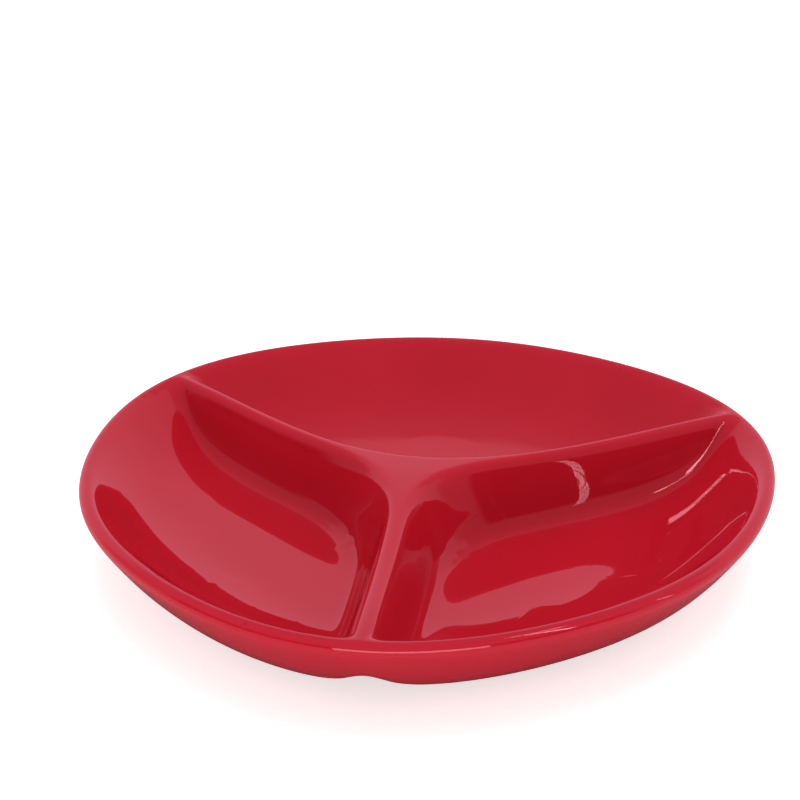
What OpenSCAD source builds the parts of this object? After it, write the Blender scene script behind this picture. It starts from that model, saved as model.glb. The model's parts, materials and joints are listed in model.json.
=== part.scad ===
// Three-part serving bowl. Three round-bottomed wells share one rolled rim and
// meet at a Y of rounded dividers. It is one fired piece of glazed clay, drawn
// here as its three wells, which meet face to face down the middle of each
// divider, and the bare foot ring that each well stands on.
// The front divider runs towards -Y, and the feet stand on Z = 0.

/* [Rim] */
// Mean radius of the rim's crest
rim_r = 135; // [115:1:155]
// Radius of the rolled lip, which is half the wall's thickness there
lip_r = 3.4; // [2.8:0.1:4.2]
// How far the outline swells out at its three soft corners
corner_swell = 3.5; // [0:0.1:6]
// How much tighter than a plain wave those corners are
corner_draw = 0.9; // [0:0.1:1.8]
// Turn of the soft corners from the bearings of the dividers, in degrees
corner_turn = -3; // [-6:0.1:6]

/* [Wells] */
// Depth of a well below the rim, at its middle
well_depth = 28.4; // [24:0.2:34]
// Steepness of the wall's inside just under the lip, in degrees
wall_slope = 47.5; // [44:0.5:52]
// Thickness of the floor at its middle
floor_t = 6.2; // [5.5:0.1:8]

/* [Dividers] */
// Radius of a divider's rounded top
divider_r = 4.6; // [4:0.1:6]
// Steepness of a divider's flanks, in degrees
flank_slope = 70; // [66:1:76]
// Reach from the hub over which the back well's two flanks sweep together
back_sweep = 44; // [34:1:52]
// Reach from the hub over which the two flanks of a front well sweep together
front_sweep = 31; // [24:1:38]
// How far the hub lies below the rim
hub_dip = 0.9; // [0:0.1:3]
// How far the dividers sag between the rim and the hub
divider_sag = 2.6; // [0:0.1:4]
// Shift of the hub from the middle of the outline, along X
hub_shift_x = -4.2; // [-8:0.1:8]
// Shift of the hub from the middle of the outline, along Y
hub_shift_y = -9.8; // [-12:0.1:6]
// Bearing of the right divider's end, in degrees
right_bearing = 27.5; // [24:0.1:36]
// Bearing of the left divider's end, in degrees
left_bearing = 150.2; // [144:0.1:156]
// Bearing of the front divider's end, in degrees
front_bearing = 270; // [264:0.1:276]

/* [Underside] */
// Steepness of the wall's outside just under the lip, in degrees
outer_slope = 58; // [54:1:62]
// Height of the groove under each divider, above the bellies
groove_h = 10; // [7:0.5:14]
// Radius of the groove's roof
groove_r = 7; // [6:0.5:12]
// Steepness of the groove's sides, in degrees
groove_slope = 68; // [58:1:72]
// Height of the foot rings
foot_h = 2; // [1.5:0.1:3]
// Width of a foot ring where it leaves the belly
foot_w = 5; // [4:0.1:7]
// Distance of a foot ring's outer edge from the middle of the dividers
foot_inset = 37; // [34:0.5:40]

/* [Hidden] */

glaze_color = "#B3202E";
clay_color = "#E2D6C4";

// Each well has a divider on its right-hand and left-hand side, seen from the hub
BACK = 0;
LEFT = 1;
RIGHT = 2;
bearings = [right_bearing, left_bearing, front_bearing, right_bearing + 360];
corner_bearing = front_bearing + corner_turn;

// Levels are depths below the rim's crest
base_depth = well_depth + floor_t;
total_h = base_depth + foot_h;
groove_depth = base_depth - groove_h;
hub = [hub_shift_x, hub_shift_y];

// How softly the wall runs into the floor, and a divider into that: low is soft
basin_blend_share = 2.25;
flank_blend_share = 6.8;
groove_blend_share = 5;
// How much deeper the bellies would curve if they weren't cut flat
under_reach_share = 1.15;

// Where the middle of a well lies, as a share of the way from hub to rim
middle_share = 0.545;
// Length of the wells' rounded middles over their width
oval_share = 1.35;
// How far out from its middle a well's rings are that oval, as a share
oval_within_share = 0.48;

// Facets: along a divider, along a well's stretch of the rim, and round the lip
divider_steps = 14;
rim_steps = 36;
lip_steps = 5;
columns = 2 * divider_steps + rim_steps;
divider_ease_share = 0.6;
rim_ease_share = 0.35;
// Rings inside a well, as shares of its half width in from the edge
inside_shares = [0, 0.026, 0.05, 0.074, 0.105, 0.14, 0.175, 0.215, 0.26, 0.31, 0.38, 0.47, 0.6, 0.78];
// Rings outside the foot, as shares of its inset, and the ring inside the foot
outside_shares = [0, 0.08, 0.15, 0.23, 0.34, 0.5, 0.73];
foot_core_share = 0.5;
// Width of a foot's sole as a share of its top
foot_sole_share = 0.7;

// Crest of the rim
function outline_r(a) =
    rim_r + corner_swell * cos(3 * (a - corner_bearing)) + corner_draw * cos(6 * (a - corner_bearing));
function on_rim(a) = outline_r(a) * [cos(a), sin(a)];
function inside_rim(p) = outline_r(atan2(p.y, p.x)) - norm(p);

// Dividers, each a straight line in plan from the hub to the rim
function divider_end(n) = on_rim(bearings[n]);
function divider_dir(n) = (divider_end(n) - hub) / norm(divider_end(n) - hub);
function divider_angle(n) =
    let (d = divider_dir(n), a = atan2(d.y, d.x))
    a + 360 * round((bearings[n] - a) / 360);
function side_of(p, n) = cross(divider_dir(n), p - hub);

// A smooth step from 0 to 1, and points crowded towards both ends of a run
function eased(u) = pow(sin(90 * u), 2);
function crowded(u, ease) = u - ease * sin(360 * u) / (2 * PI);
function mix(a, b, u) = a * (1 - u) + b * u;

// The lesser of two distances, with the corner between them rounded off
function swept(a, b, reach) =
    let (h = max(reach - abs(a - b), 0) / reach)
    min(a, b) - h * h * reach / 4;

// The lesser of two depths, run softly together
function lesser(a, b, blend) =
    min(a, b) <= 0 ? 0 : pow(pow(a, -blend) + pow(b, -blend), -1 / blend);

// The depth that, run together with another, comes to a given depth
function backed_off(depth, a, blend) = pow(pow(depth, -blend) - pow(a, -blend), -1 / blend);

// Section of a crest: a round top that runs straight on down its slope
function shoulder(d, r, slope) =
    d <= 0 ? 0
    : d < r * sin(slope) ? r - sqrt(r * r - d * d)
    : r * (1 - cos(slope)) + (d - r * sin(slope)) * tan(slope);

// Distance from the two dividers beside a well
function off_dividers(p, w) =
    swept(side_of(p, w), -side_of(p, w + 1), w == BACK ? back_sweep : front_sweep);

// Height lost along the dividers on the way from the rim to the hub
function dip(p) =
    let (in = max(inside_rim(p), 0), u = in / (in + norm(p - hub)))
    hub_dip * eased(u) + divider_sag * pow(sin(180 * u), 2);

// Depth of the inside
function flank_depth(p, w) = dip(p) + shoulder(off_dividers(p, w), divider_r, flank_slope);
function wall_depth(p) = shoulder(inside_rim(p), lip_r, wall_slope);
function inside_depth(p, w) =
    let (level = backed_off(well_depth, wall_depth(middle(w)), basin_blend_share))
    lesser(flank_depth(p, w), lesser(wall_depth(p), level, basin_blend_share), flank_blend_share);

// Depth of the underside, flat in the middle of each belly
function under_wall_depth(p) = lip_r + lip_r / cos(outer_slope) + inside_rim(p) * tan(outer_slope);
function groove_side_depth(p, w) = groove_depth + shoulder(off_dividers(p, w), groove_r, groove_slope);
function under_depth(p, w) =
    let (belly = lesser(under_wall_depth(p), under_reach_share * base_depth, basin_blend_share))
    min(base_depth, lesser(groove_side_depth(p, w), belly, groove_blend_share));

// Middle of a well, and how far the dividers lie from it
function well_angle(w) = (divider_angle(w) + divider_angle(w + 1)) / 2;
function middle(w) =
    let (a = well_angle(w), reach = norm(on_rim(a) - hub))
    hub + middle_share * reach * [cos(a), sin(a)];
function half_width(w) = side_of(middle(w), w);

// Edge of a well in plan: out along one divider, round the rim, back along the next
function edge_point(w, i) =
    i <= divider_steps
    ? mix(hub, divider_end(w), crowded(i / divider_steps, divider_ease_share))
    : i < divider_steps + rim_steps
    ? on_rim(mix(bearings[w], bearings[w + 1], crowded((i - divider_steps) / rim_steps, rim_ease_share)))
    : mix(hub, divider_end(w + 1), crowded((columns - i) / divider_steps, divider_ease_share));

// How far round the rim a column lies, held at the ends along the dividers
function rim_share(i) = min(max((i - divider_steps) / rim_steps, 0), 1);
function on_rim_edge(i) = i >= divider_steps && i <= divider_steps + rim_steps;
function lip_bearing(w, i) =
    mix(divider_angle(w), divider_angle(w + 1), crowded(rim_share(i), rim_ease_share));

// A ring in plan, at a share of the half width in from the edge: it follows the
// edge where it lies near it and is a plain oval in the middle
function ring_point(w, i, inset) =
    let (m = middle(w), v = edge_point(w, i) - m, a = atan2(v.y, v.x) - well_angle(w))
    let (oval = half_width(w) / sqrt(pow(cos(a), 2) + pow(sin(a) / oval_share, 2)))
    let (t = 1 - inset, near = eased(min(max((t - oval_within_share) / (1 - oval_within_share), 0), 1)))
    m + t * mix(oval / norm(v), 1, near) * v;

function at_depth(p, depth) = [p.x, p.y, total_h - depth];
function inside_point(w, i, inset) =
    let (p = ring_point(w, i, inset))
    at_depth(p, inside_depth(p, w));
function under_point(w, i, inset) =
    let (p = ring_point(w, i, inset))
    at_depth(p, under_depth(p, w));

// Over the lip on the rim, and straight down the middle of a divider
function edge_side_point(w, i, step) =
    let (p = edge_point(w, i), a = (180 - outer_slope) * step / (lip_steps - 1), b = lip_bearing(w, i))
    on_rim_edge(i)
    ? at_depth(p + lip_r * sin(a) * [cos(b), sin(b)], lip_r * (1 - cos(a)))
    : at_depth(p, mix(inside_depth(p, w), under_depth(p, w), step / lip_steps));

function foot_insets(w) =
    [foot_inset, foot_inset + foot_w / 2, foot_inset + foot_w] / half_width(w);
function under_insets(w) =
    let (f = foot_insets(w))
    concat([for (s = outside_shares) s * f[0]], f, [mix(f[2], 1, foot_core_share)]);

// Middle of the bowl's box in plan, which the origin lies under
lip_points = [
    for (w = [BACK, LEFT, RIGHT], i = [divider_steps : divider_steps + rim_steps], j = [1 : lip_steps - 1])
        edge_side_point(w, i, j)
];
lip_x = [for (p = lip_points) p.x];
lip_y = [for (p = lip_points) p.y];
plan_middle = [min(lip_x) + max(lip_x), min(lip_y) + max(lip_y)] / 2;

// Two triangles between neighbouring rings and columns. The cut runs the other
// way in the second half, so that the halves of a divider match.
function split(a, b, c, d, i) = i < columns / 2 ? [[a, b, c], [a, c, d]] : [[a, b, d], [b, c, d]];
function band(j, k) = [
    for (i = [0 : columns - 1])
        let (n = (i + 1) % columns)
        each split(j * columns + i, j * columns + n, k * columns + n, k * columns + i, i)
];

module well(w) {
    insets = under_insets(w);
    rings = concat(
        [for (j = [len(inside_shares) - 1 : -1 : 0])
            [for (i = [0 : columns - 1]) inside_point(w, i, inside_shares[j])]],
        [for (j = [1 : lip_steps - 1])
            [for (i = [0 : columns - 1]) edge_side_point(w, i, j)]],
        [for (t = insets)
            [for (i = [0 : columns - 1]) under_point(w, i, t)]]
    );
    last = len(rings) * columns;
    points = concat([for (r = rings) each r], [inside_point(w, 0, 1), under_point(w, 0, 1)]);
    faces = concat(
        [for (i = [0 : columns - 1]) [last, (i + 1) % columns, i]],
        [for (j = [0 : len(rings) - 2]) each band(j, j + 1)],
        [for (i = [0 : columns - 1]) [last + 1, last - columns + i, last - columns + (i + 1) % columns]]
    );
    color(glaze_color) translate(-plan_middle) polyhedron(points, faces, convexity = 6);
}

module foot(w) {
    insets = foot_insets(w);
    narrow = (1 - foot_sole_share) * (insets[2] - insets[0]) / 2;
    soles = [insets[2] - narrow, insets[0] + narrow];
    rings = concat(
        [for (t = insets) [for (i = [0 : columns - 1]) under_point(w, i, t)]],
        [for (t = soles) [for (i = [0 : columns - 1]) at_depth(ring_point(w, i, t), total_h)]]
    );
    points = [for (r = rings) each r];
    faces = [for (j = [0 : len(rings) - 1]) each band((j + 1) % len(rings), j)];
    color(clay_color) translate(-plan_middle) polyhedron(points, faces, convexity = 6);
}

module back_well() well(BACK);
module left_well() well(LEFT);
module right_well() well(RIGHT);
module back_foot() foot(BACK);
module left_foot() foot(LEFT);
module right_foot() foot(RIGHT);

back_well();
left_well();
right_well();
back_foot();
left_foot();
right_foot();
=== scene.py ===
import json
import math
import bpy
import numpy as np
from mathutils import Matrix, Vector

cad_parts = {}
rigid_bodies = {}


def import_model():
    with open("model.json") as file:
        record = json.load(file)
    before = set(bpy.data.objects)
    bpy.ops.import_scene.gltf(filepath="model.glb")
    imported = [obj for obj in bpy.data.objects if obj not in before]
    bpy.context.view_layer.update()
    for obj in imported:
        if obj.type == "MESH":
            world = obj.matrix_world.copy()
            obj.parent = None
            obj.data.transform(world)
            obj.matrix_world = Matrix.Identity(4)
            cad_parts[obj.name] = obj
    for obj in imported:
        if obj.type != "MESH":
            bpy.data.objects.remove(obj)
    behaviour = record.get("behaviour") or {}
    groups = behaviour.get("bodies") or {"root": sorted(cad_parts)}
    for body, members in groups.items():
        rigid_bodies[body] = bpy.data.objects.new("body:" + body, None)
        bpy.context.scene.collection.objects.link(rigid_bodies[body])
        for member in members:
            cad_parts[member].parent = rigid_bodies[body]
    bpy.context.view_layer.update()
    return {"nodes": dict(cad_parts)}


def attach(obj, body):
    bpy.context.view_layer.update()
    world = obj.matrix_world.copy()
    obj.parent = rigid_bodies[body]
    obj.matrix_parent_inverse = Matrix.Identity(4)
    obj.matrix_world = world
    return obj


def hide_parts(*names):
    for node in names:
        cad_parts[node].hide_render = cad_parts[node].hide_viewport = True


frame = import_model()
nodes = frame["nodes"]
mm = 0.001
print("frame loaded:", sorted(nodes))

# camera, at the photograph's place and angle
shot = {
    "place": (87.99, -599.82, 326.1),  # mm
    "turn": (66.564, 0.201, 9.126),  # degrees
    "lens": 76.13,  # mm
    "sensor": 36,  # mm wide
}
cameraData = bpy.data.cameras.new("camera")
cameraData.lens = shot["lens"]
cameraData.sensor_width = shot["sensor"]
camera = bpy.data.objects.new("camera", cameraData)
camera.location = Vector(shot["place"]) * mm
camera.rotation_euler = [math.radians(a) for a in shot["turn"]]
bpy.context.collection.objects.link(camera)
bpy.context.scene.camera = camera
print("camera set")


# small tools for working as by hand
def pick(*pieces):
    if bpy.context.object and bpy.context.object.mode != "OBJECT":
        bpy.ops.object.mode_set(mode="OBJECT")
    bpy.ops.object.select_all(action="DESELECT")
    for piece in pieces:
        piece.select_set(True)
    bpy.context.view_layer.objects.active = pieces[0]


def copyNodes(names, newName):
    copies = []
    for name in names:
        piece = nodes[name].copy()
        piece.data = nodes[name].data.copy()
        piece.parent = None
        bpy.context.collection.objects.link(piece)
        copies.append(piece)
    pick(*copies)
    if len(copies) > 1:
        bpy.ops.object.join()
    piece = copies[0]
    piece.name = piece.data.name = newName
    piece.data.materials.clear()
    return piece


# leaves the piece in edit mode with the faces or corners that the rule picks selected
def selectWhere(piece, kind, rule):
    pick(piece)
    bpy.ops.object.mode_set(mode="EDIT")
    bpy.ops.mesh.select_mode(type=kind)
    bpy.ops.mesh.select_all(action="DESELECT")
    bpy.ops.object.mode_set(mode="OBJECT")
    for element in piece.data.polygons if kind == "FACE" else piece.data.vertices:
        element.select = rule(element)
    bpy.ops.object.mode_set(mode="EDIT")


def smoothed(piece, levels):
    smooth = piece.modifiers.new("smooth", "SUBSURF")
    smooth.levels = smooth.render_levels = levels
    pick(piece)
    bpy.ops.object.modifier_apply(modifier="smooth")
    bpy.ops.object.shade_smooth()


def linear(hexColour):
    parts = [int(hexColour[i : i + 2], 16) / 255 for i in (1, 3, 5)]
    return [c / 12.92 if c <= 0.04045 else ((c + 0.055) / 1.055) ** 2.4 for c in parts] + [1.0]


# a socket goes by its name, or by its number where a node has several of one name
def addNode(tree, kind, settings=None, sockets=None, links=None):
    node = tree.nodes.new(kind)
    for name, value in (settings or {}).items():
        setattr(node, name, value)
    for name, value in (sockets or {}).items():
        node.inputs[name].default_value = value
    for name, source in (links or {}).items():
        tree.links.new(source, node.inputs[name])
    return node


# how the loose triangles of a node become one surface of four-sided faces
mesh = {
    "merge": 0.02,  # mm between corners that are one
    "same": 0.01,  # mm between a middle and the corner that it was noted from
    "upright": 0.01,  # how far an upright face's direction may rise or fall
    "squares": {"face_threshold": math.radians(60), "shape_threshold": math.radians(90)},
}

# the glazed body: the three wells as the one fired piece that they are
bowl = {
    "fan": 20,  # faces round a corner, past which it is the middle of a fan
    "bellyRise": 1,  # mm from the lowest middle, under which the middles are those of bellies
    "holeRise": 3,  # mm up or down from a middle to the edge of the hole round it
    "holeReach": 45,  # mm from a middle to that edge at most
    "wellRows": 14,  # rows of faces across a hole in a well
    "bellyRows": 8,  # and in a belly
    "patch": 17,  # mm from a well's middle to the edge of its patch
    "reach": 30,  # and to the edge of the floor that its curve is taken from
    "hold": 40,  # how strongly that curve keeps to the well's own middle
    "smoothing": 2,
}
glazedBowl = copyNodes(["back_well", "left_well", "right_well"], "glazed_bowl")
# the faces where two wells meet stand upright, and no others do
selectWhere(glazedBowl, "FACE", lambda face: abs(face.normal.z) < mesh["upright"])
bpy.ops.mesh.delete(type="FACE")
bpy.ops.mesh.select_all(action="SELECT")
bpy.ops.mesh.remove_doubles(threshold=mesh["merge"] * mm)
bpy.ops.object.mode_set(mode="OBJECT")

# the fans of narrow faces at the middles of wells and bellies become even patches
around = {}
for face in glazedBowl.data.polygons:
    for index in face.vertices:
        around[index] = around.get(index, 0) + 1
corners = glazedBowl.data.vertices
middles = [vertex.co.copy() for vertex in corners if around[vertex.index] > bowl["fan"]]
bellyTop = min(middle.z for middle in middles) + bowl["bellyRise"] * mm


def isMiddle(vertex):
    return any((vertex.co - middle).length < mesh["same"] * mm for middle in middles)


# in a belly the faces round the middle go, and those round them too
selectWhere(glazedBowl, "VERT", lambda vertex: isMiddle(vertex) and vertex.co.z < bellyTop)
bpy.ops.mesh.select_more()
bpy.ops.mesh.delete(type="VERT")
# in a well only the first
selectWhere(glazedBowl, "VERT", isMiddle)
bpy.ops.mesh.delete(type="VERT")
bpy.ops.mesh.select_all(action="SELECT")
bpy.ops.mesh.tris_convert_to_quads(**mesh["squares"])
for middle in middles:
    bpy.ops.mesh.select_mode(type="VERT")
    bpy.ops.mesh.select_all(action="DESELECT")
    # the open edges, and nothing else that isn't closed
    bpy.ops.mesh.select_non_manifold(
        extend=False, use_wire=False, use_multi_face=False, use_non_contiguous=False, use_verts=False
    )
    bpy.ops.object.mode_set(mode="OBJECT")
    ring = {
        vertex.index
        for vertex in glazedBowl.data.vertices
        if vertex.select
        and abs(vertex.co.z - middle.z) < bowl["holeRise"] * mm
        and (vertex.co - middle).length < bowl["holeReach"] * mm
    }
    selectWhere(glazedBowl, "VERT", lambda vertex: vertex.index in ring)
    bpy.ops.mesh.select_mode(type="EDGE")
    bpy.ops.mesh.fill_grid(span=bowl["bellyRows" if middle.z < bellyTop else "wellRows"])
bpy.ops.mesh.select_all(action="SELECT")
bpy.ops.mesh.normals_make_consistent(inside=False)
bpy.ops.object.mode_set(mode="OBJECT")


# each patch in a well takes on the gentle curve of the floor round it
def floorTerms(point, middle):
    x, y = (point.x - middle.x) / (bowl["reach"] * mm), (point.y - middle.y) / (bowl["reach"] * mm)
    return [x**i * y**j for i in range(4) for j in range(4 - i)] + [(x * x + y * y) ** 2]


for middle in middles:
    if middle.z < bellyTop:
        continue
    nearby = [
        vertex
        for vertex in glazedBowl.data.vertices
        if vertex.co.z > bellyTop and (vertex.co - middle).length < bowl["reach"] * mm
    ]
    known = [vertex.co for vertex in nearby if (vertex.co - middle).length > bowl["patch"] * mm]
    known += bowl["hold"] * [middle]
    terms = np.array([floorTerms(point, middle) for point in known])
    curve = np.linalg.lstsq(terms, np.array([point.z for point in known]), rcond=None)[0]
    for vertex in nearby:
        away = (vertex.co - middle).length / mm
        share = min(max((bowl["reach"] - away) / (bowl["reach"] - bowl["patch"]), 0), 1)
        vertex.co.z += share * (np.dot(floorTerms(vertex.co, middle), curve) - vertex.co.z)
print("glazed bowl:", len(glazedBowl.data.polygons), "faces,", len(middles), "middles filled")
smoothed(glazedBowl, bowl["smoothing"])
print("glazed bowl smoothed:", len(glazedBowl.data.polygons), "faces")

# the bare foot rings
feet = {
    "top": 1,  # mm, above which a corner belongs to a ring's top
    "rise": 0.4,  # mm that the top goes up into the belly
    "smoothing": 1,
}
footRings = []
for side in ("back", "left", "right"):
    footRing = copyNodes([side + "_foot"], side + "_foot_ring")
    bpy.ops.object.mode_set(mode="EDIT")
    bpy.ops.mesh.select_all(action="SELECT")
    bpy.ops.mesh.remove_doubles(threshold=mesh["merge"] * mm)
    bpy.ops.mesh.tris_convert_to_quads(**mesh["squares"])
    selectWhere(footRing, "VERT", lambda vertex: vertex.co.z > feet["top"] * mm)
    bpy.ops.transform.translate(value=(0, 0, feet["rise"] * mm))
    smoothed(footRing, feet["smoothing"])
    footRings.append(footRing)
print("foot rings:", [len(ring.data.polygons) for ring in footRings])


glaze = {
    "deep": "#B21222",  # where the glaze lies thick
    "thin": "#C11828",  # where it lies thinner
    "crest": "#B6192A",  # painted shade: the tops of the lip and the dividers a shade darker and cooler
    "crestTop": 36.6,  # mm, the height of the crests
    "crestRun": 3.4,  # mm below them that this shade reaches
    "drift": 45,  # mm across a cloud of thicker glaze
    "wave": 19,  # mm across a slow wave of the surface, which bends what it mirrors
    "waveHeight": 0.012,  # mm
    "peel": 2.6,  # mm across a ripple of the surface
    "peelHeight": 0.001,  # mm
    "pit": 11,  # mm between pinholes
    "pitSize": (0.035, 0.056),  # a pinhole's radius as a share of that, and where it has faded out
    "pitShade": 0.72,
    "roughness": 0.02,
    "ior": 1.5,
}
# glazed earthenware: a glassy coloured coat, flowed smooth in the kiln, over pale clay
redGlaze = bpy.data.materials.new("glazed earthenware")
redGlaze.use_nodes = True
tree = redGlaze.node_tree
shader = tree.nodes["Principled BSDF"]
surface = {"Vector": addNode(tree, "ShaderNodeTexCoord").outputs["Object"]}
drift = addNode(
    tree,
    "ShaderNodeTexNoise",
    None,
    {"Scale": 1 / (glaze["drift"] * mm), "Detail": 3, "Roughness": 0.5},
    surface,
)
body = addNode(
    tree,
    "ShaderNodeMix",
    {"data_type": "RGBA"},
    {6: linear(glaze["deep"]), 7: linear(glaze["thin"])},
    {0: drift.outputs["Fac"]},
)
height = addNode(tree, "ShaderNodeSeparateXYZ", links=surface)
# painted shade: above this height the glaze is darkened towards the crest colour
crest = addNode(
    tree,
    "ShaderNodeMapRange",
    {"interpolation_type": "SMOOTHSTEP"},
    {"From Min": (glaze["crestTop"] - glaze["crestRun"]) * mm, "From Max": glaze["crestTop"] * mm},
    {"Value": height.outputs["Z"]},
)
paintedCrestShaded = addNode(
    tree,
    "ShaderNodeMix",
    {"data_type": "RGBA"},
    {7: linear(glaze["crest"])},
    {0: crest.outputs["Result"], 6: body.outputs[2]},
)
# a few pinholes, which burst and healed in the firing, are the smallest marks on it
pits = addNode(tree, "ShaderNodeTexVoronoi", None, {"Scale": 1 / (glaze["pit"] * mm)}, surface)
pit = addNode(
    tree,
    "ShaderNodeMapRange",
    None,
    {"From Min": glaze["pitSize"][0], "From Max": glaze["pitSize"][1], "To Min": glaze["pitShade"]},
    {"Value": pits.outputs["Distance"]},
)
pitted = addNode(
    tree,
    "ShaderNodeMix",
    {"data_type": "RGBA", "blend_type": "MULTIPLY"},
    {0: 1},
    {6: paintedCrestShaded.outputs[2], 7: pit.outputs["Result"]},
)
tree.links.new(pitted.outputs[2], shader.inputs["Base Color"])
wave = addNode(tree, "ShaderNodeTexNoise", None, {"Scale": 1 / (glaze["wave"] * mm), "Detail": 1}, surface)
slow = addNode(
    tree,
    "ShaderNodeBump",
    None,
    {"Strength": 1, "Distance": glaze["waveHeight"] * mm},
    {"Height": wave.outputs["Fac"]},
)
peel = addNode(tree, "ShaderNodeTexNoise", None, {"Scale": 1 / (glaze["peel"] * mm), "Detail": 1}, surface)
fine = addNode(
    tree,
    "ShaderNodeBump",
    None,
    {"Strength": 1, "Distance": glaze["peelHeight"] * mm},
    {"Height": peel.outputs["Fac"], "Normal": slow.outputs["Normal"]},
)
tree.links.new(fine.outputs["Normal"], shader.inputs["Normal"])
shader.inputs["Roughness"].default_value = glaze["roughness"]
shader.inputs["IOR"].default_value = glaze["ior"]
glazedBowl.data.materials.append(redGlaze)

clay = {
    "pale": "#E6DCCB",
    "dark": "#CDBFA9",
    "grain": 0.8,  # mm across a grain
    "grainHeight": 0.05,  # mm
    "bump": 0.6,
    "roughness": 0.85,
}
# bare clay: fired earthenware wiped clean of glaze, chalky and dull
bareClay = bpy.data.materials.new("bare clay")
bareClay.use_nodes = True
tree = bareClay.node_tree
shader = tree.nodes["Principled BSDF"]
surface = {"Vector": addNode(tree, "ShaderNodeTexCoord").outputs["Object"]}
grain = addNode(tree, "ShaderNodeTexNoise", None, {"Scale": 1 / (clay["grain"] * mm), "Detail": 4}, surface)
body = addNode(
    tree,
    "ShaderNodeMix",
    {"data_type": "RGBA"},
    {6: linear(clay["pale"]), 7: linear(clay["dark"])},
    {0: grain.outputs["Fac"]},
)
tree.links.new(body.outputs[2], shader.inputs["Base Color"])
bump = addNode(
    tree,
    "ShaderNodeBump",
    None,
    {"Strength": clay["bump"], "Distance": clay["grainHeight"] * mm},
    {"Height": grain.outputs["Fac"]},
)
tree.links.new(bump.outputs["Normal"], shader.inputs["Normal"])
shader.inputs["Roughness"].default_value = clay["roughness"]
for ring in footRings:
    ring.data.materials.append(bareClay)
print("materials made")


# the studio: a plain pale floor in a soft pale room
floorLook = {
    "size": 12,  # m
    "drop": 0.05,  # mm below the feet
    "colour": "#F4F4F4",
    "paintedShadowInGloss": "#7A666C",  # painted shadow: its look in the bowl's gloss, right under the bowl, darker than the paper
    "inGloss": "#F2B8C4",  # painted reflection tint: its look in the gloss clear of it, pink where the paper is white
    "shade": (90, 150),  # mm from the middle, over which the painted shadow runs into the painted tint
    "lift": 0.6,  # lightens the shadow to the eye, not the light on the bowl
    "roughness": 0.9,
    "specular": 0.1,
}
bpy.ops.object.select_all(action="DESELECT")
bpy.ops.mesh.primitive_plane_add(size=floorLook["size"], location=(0, 0, -floorLook["drop"] * mm))
floor = bpy.context.object
floor.name = "floor"
# white paper: matt and even, unrolled over the table; only in the bowl's gloss it is painted, with a painted
# shadow round the bowl and a painted pink reflection tint beyond
whitePaper = bpy.data.materials.new("white paper, painted shadow and tint in gloss")
whitePaper.use_nodes = True
tree = whitePaper.node_tree
shader = tree.nodes["Principled BSDF"]
shader.inputs["Roughness"].default_value = floorLook["roughness"]
shader.inputs["Specular IOR Level"].default_value = floorLook["specular"]
path = addNode(tree, "ShaderNodeLightPath")
place = addNode(tree, "ShaderNodeTexCoord")
away = addNode(tree, "ShaderNodeVectorMath", {"operation": "LENGTH"}, None, {0: place.outputs["Object"]})
# painted shadow: in the gloss the floor is darker close round the bowl, from its middle outwards
clear = addNode(
    tree,
    "ShaderNodeMapRange",
    {"interpolation_type": "SMOOTHSTEP"},
    {"From Min": floorLook["shade"][0] * mm, "From Max": floorLook["shade"][1] * mm},
    {"Value": away.outputs["Value"]},
)
paintedFloorReflection = addNode(
    tree,
    "ShaderNodeMix",
    {"data_type": "RGBA"},
    {6: linear(floorLook["paintedShadowInGloss"]), 7: linear(floorLook["inGloss"])},
    {0: clear.outputs["Result"]},
)
# painted reflection: glossy rays see the painted shadow and pink tint in place of the white paper
paper = addNode(
    tree,
    "ShaderNodeMix",
    {"data_type": "RGBA"},
    {6: linear(floorLook["colour"])},
    {0: path.outputs["Is Glossy Ray"], 7: paintedFloorReflection.outputs[2]},
)
tree.links.new(paper.outputs[2], shader.inputs["Base Color"])
direct = addNode(
    tree,
    "ShaderNodeMath",
    {"operation": "MAXIMUM"},
    None,
    {0: path.outputs["Is Camera Ray"], 1: path.outputs["Is Transmission Ray"]},
)
lift = addNode(
    tree, "ShaderNodeMath", {"operation": "MULTIPLY"}, {1: floorLook["lift"]}, {0: direct.outputs["Value"]}
)
shader.inputs["Emission Color"].default_value = (1, 1, 1, 1)
tree.links.new(lift.outputs["Value"], shader.inputs["Emission Strength"])
floor.data.materials.append(whitePaper)

room = {
    "even": 0.67,  # level of the even light that falls on everything
    "facing": (0.03, 1, 0),  # towards the pale wall behind the bowl
    "tint": "#FFAEC4",
    "dark": 0.03,  # the unlit end of the room, behind the camera
    "side": 0.58,
    "wall": 1.06,
    "ceiling": 0.6,
    # how the walls change from the unlit end, 0, to the pale wall, 1
    "walls": ((0, "dark"), (0.38, "dark"), (0.42, "side"), (0.62, "side"), (0.7, "wall")),
    # the ceiling starts higher over the pale wall than over the unlit end
    "ceilingStarts": (0.36, 0.58),
    "ceilingTurns": (-0.3, 0.3),  # from the one end to the other, where that changes
    "ceilingEdge": 0.08,
}
world = bpy.data.worlds.new("pale room")
bpy.context.scene.world = world
world.use_nodes = True
tree = world.node_tree
background = tree.nodes["Background"]
look = addNode(tree, "ShaderNodeTexCoord")
height = addNode(tree, "ShaderNodeSeparateXYZ", links={"Vector": look.outputs["Generated"]})
towards = addNode(
    tree,
    "ShaderNodeVectorMath",
    {"operation": "DOT_PRODUCT"},
    {1: Vector(room["facing"]).normalized()},
    {0: look.outputs["Generated"]},
)
share = addNode(
    tree, "ShaderNodeMapRange", None, {"From Min": -1, "From Max": 1}, {"Value": towards.outputs["Value"]}
)
walls = addNode(tree, "ShaderNodeValToRGB", links={"Fac": share.outputs["Result"]})
while len(walls.color_ramp.elements) < len(room["walls"]):
    walls.color_ramp.elements.new(0.5)
for element, (at, level) in zip(walls.color_ramp.elements, room["walls"]):
    element.position = at
    element.color = (room[level], room[level], room[level], 1)
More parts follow.
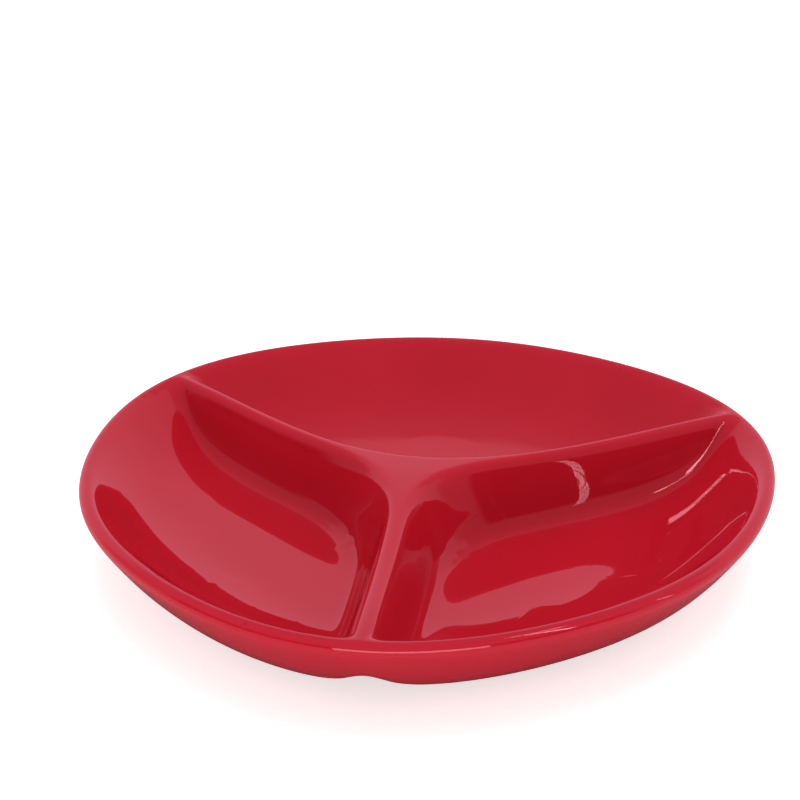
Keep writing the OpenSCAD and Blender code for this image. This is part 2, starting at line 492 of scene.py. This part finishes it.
near = addNode(
    tree,
    "ShaderNodeMapRange",
    {"interpolation_type": "SMOOTHSTEP"},
    {
        "From Min": room["ceilingTurns"][0],
        "From Max": room["ceilingTurns"][1],
        "To Min": room["ceilingStarts"][0],
        "To Max": room["ceilingStarts"][1],
    },
    {"Value": towards.outputs["Value"]},
)
far = addNode(
    tree, "ShaderNodeMath", {"operation": "ADD"}, {1: room["ceilingEdge"]}, {0: near.outputs["Result"]}
)
above = addNode(
    tree,
    "ShaderNodeMapRange",
    {"interpolation_type": "SMOOTHSTEP"},
    None,
    {"Value": height.outputs["Z"], "From Min": near.outputs["Result"], "From Max": far.outputs["Value"]},
)
inGloss = addNode(
    tree,
    "ShaderNodeMix",
    None,
    {3: room["ceiling"]},
    {0: above.outputs["Result"], 2: walls.outputs["Color"]},
)
path = addNode(tree, "ShaderNodeLightPath")
seen = addNode(
    tree, "ShaderNodeMix", None, {2: room["even"]}, {0: path.outputs["Is Glossy Ray"], 3: inGloss.outputs[0]}
)
# to the eye the room is white; in the gloss it is the same pale room with its unlit end
direct = addNode(
    tree,
    "ShaderNodeMath",
    {"operation": "MAXIMUM"},
    None,
    {0: path.outputs["Is Camera Ray"], 1: path.outputs["Is Transmission Ray"]},
)
strength = addNode(tree, "ShaderNodeMix", None, {3: 1}, {0: direct.outputs["Value"], 2: seen.outputs[0]})
tree.links.new(strength.outputs[0], background.inputs["Strength"])
colour = addNode(
    tree,
    "ShaderNodeMix",
    {"data_type": "RGBA"},
    {6: (1, 1, 1, 1), 7: linear(room["tint"])},
    {0: path.outputs["Is Glossy Ray"]},
)
tree.links.new(colour.outputs[2], background.inputs["Color"])

# soft lamps, in metres and watts, all turned towards the bowl
softboxes = {
    "overhead": {"place": (0.05, 0.45, 1.55), "size": (1.4, 1.4), "power": 11.4},
    "left": {"place": (-1.0, -0.9, 0.2), "size": (0.9, 0.3), "power": 2.6},
    "right": {"place": (1.1, -0.8, 0.2), "size": (0.9, 0.3), "power": 2.6},
    "low left": {"place": (-0.75, -0.75, 0.03), "size": (0.9, 0.04), "power": 2},
    "low right": {"place": (0.8, -0.65, 0.03), "size": (0.9, 0.04), "power": 1.3},
}
for name, box in softboxes.items():
    data = bpy.data.lights.new(name + " softbox", "AREA")
    data.shape = "RECTANGLE"
    data.size, data.size_y = box["size"]
    data.energy = box["power"]
    light = bpy.data.objects.new(name + " softbox", data)
    light.location = box["place"]
    light.rotation_euler = (-Vector(box["place"])).to_track_quat("-Z", "Y").to_euler()
    light.visible_glossy = False  # the gloss shows the room, not the lamps
    bpy.context.collection.objects.link(light)

# glowing cards that only the gloss mirrors: lamps, and the small panes of a lattice window.
# each runs along its points, in metres, and shows in its first mirror image or, where the
# bowl mirrors itself, in its second; the lattice is turned about its length, edge-on to the
# hub, which would mirror it too
cards = {
    "front lamp": {
        "points": ((-0.22, -0.83, 0.12), (0.48, -0.69, 0.12)),
        "width": 0.22,
        "glow": 6,
        "image": 1,
    },
    "lattice": {
        "points": ((0.2246, -0.091, 0.0555), (0.2246, -0.091, 0.111)),
        "width": 0.0229,
        "turn": 87,
        "glow": 8,
        "image": 1,
        "panes": (4, 15),
    },
    "window low": {
        "points": ((0.311, -0.211, 0.652), (0.396, -0.106, 0.622)),
        "width": 0.065,
        "glow": 13,
        "image": 1,
    },
    "window high": {
        "points": ((0.591, -0.384, 0.33), (0.371, -0.234, 0.6)),
        "width": 0.03,
        "glow": 13,
        "image": 1,
    },
    "lamp end": {
        "points": ((0.402, -0.158, 0.63), (0.382, -0.119, 0.63)),
        "width": 0.01,
        "glow": 50,
        "image": 2,
    },
    "ceiling lamp": {
        "points": ((0.382, -0.119, 0.63), (0.285, -0.215, 0.63), (0.247, -0.304, 0.63)),
        "width": 0.024,
        "glow": 50,
        "image": 2,
    },
}
cardTint = "#FFB8C8"
# one white brick for each pane, and dark leads for the mortar
leadedPanes = {
    "Color1": (1, 1, 1, 1),
    "Color2": (1, 1, 1, 1),
    "Mortar": (0.04, 0.04, 0.04, 1),
    "Mortar Size": 0.14,
    "Scale": 1,
    "Brick Width": 1,
    "Row Height": 1,
}
for name, card in cards.items():
    glow = bpy.data.materials.new(name + " glow")
    glow.use_nodes = True
    tree = glow.node_tree
    tree.nodes.remove(tree.nodes["Principled BSDF"])
    path = addNode(tree, "ShaderNodeLightPath")
    image = addNode(
        tree,
        "ShaderNodeMath",
        {"operation": "COMPARE"},
        {1: card["image"], 2: 0.1},
        {0: path.outputs["Glossy Depth"]},
    )
    glowing = addNode(
        tree, "ShaderNodeMath", {"operation": "MULTIPLY"}, {1: card["glow"]}, {0: image.outputs["Value"]}
    )
    if "panes" in card:
        place = addNode(tree, "ShaderNodeTexCoord")
        grid = addNode(
            tree,
            "ShaderNodeVectorMath",
            {"operation": "MULTIPLY"},
            {1: (*card["panes"], 0)},
            {0: place.outputs["Generated"]},
        )
        panes = addNode(
            tree,
            "ShaderNodeTexBrick",
            {"offset": 0, "squash": 1},
            leadedPanes,
            {"Vector": grid.outputs["Vector"]},
        )
        glowing = addNode(
            tree,
            "ShaderNodeMath",
            {"operation": "MULTIPLY"},
            None,
            {0: glowing.outputs["Value"], 1: panes.outputs["Color"]},
        )
    emitter = addNode(
        tree, "ShaderNodeEmission", None, {"Color": linear(cardTint)}, {"Strength": glowing.outputs["Value"]}
    )
    tree.links.new(emitter.outputs["Emission"], tree.nodes["Material Output"].inputs["Surface"])
    for start, end in zip(card["points"], card["points"][1:]):
        start, end = Vector(start), Vector(end)
        along = (end - start).normalized()
        centre = (start + end) / 2
        facing = (-centre + centre.dot(along) * along).normalized()  # towards the bowl
        facing.rotate(Matrix.Rotation(math.radians(card.get("turn", 0)), 3, along))
        bpy.ops.object.select_all(action="DESELECT")
        bpy.ops.mesh.primitive_plane_add(size=1)
        pane = bpy.context.object
        pane.name = name.replace(" ", "_")
        pane.scale = (card["width"], (end - start).length, 1)
        pane.rotation_euler = Matrix((along.cross(facing), along, facing)).transposed().to_euler()
        pane.location = centre
        pane.data.materials.append(glow)
        pane.visible_camera = pane.visible_diffuse = pane.visible_shadow = pane.visible_transmission = False
bpy.context.scene.view_settings.view_transform = "Standard"
print("studio lit")

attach(glazedBowl, "root")
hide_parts("back_well", "left_well", "right_well")
for ring, side in zip(footRings, ("back", "left", "right")):
    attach(ring, "root")
    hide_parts(side + "_foot")
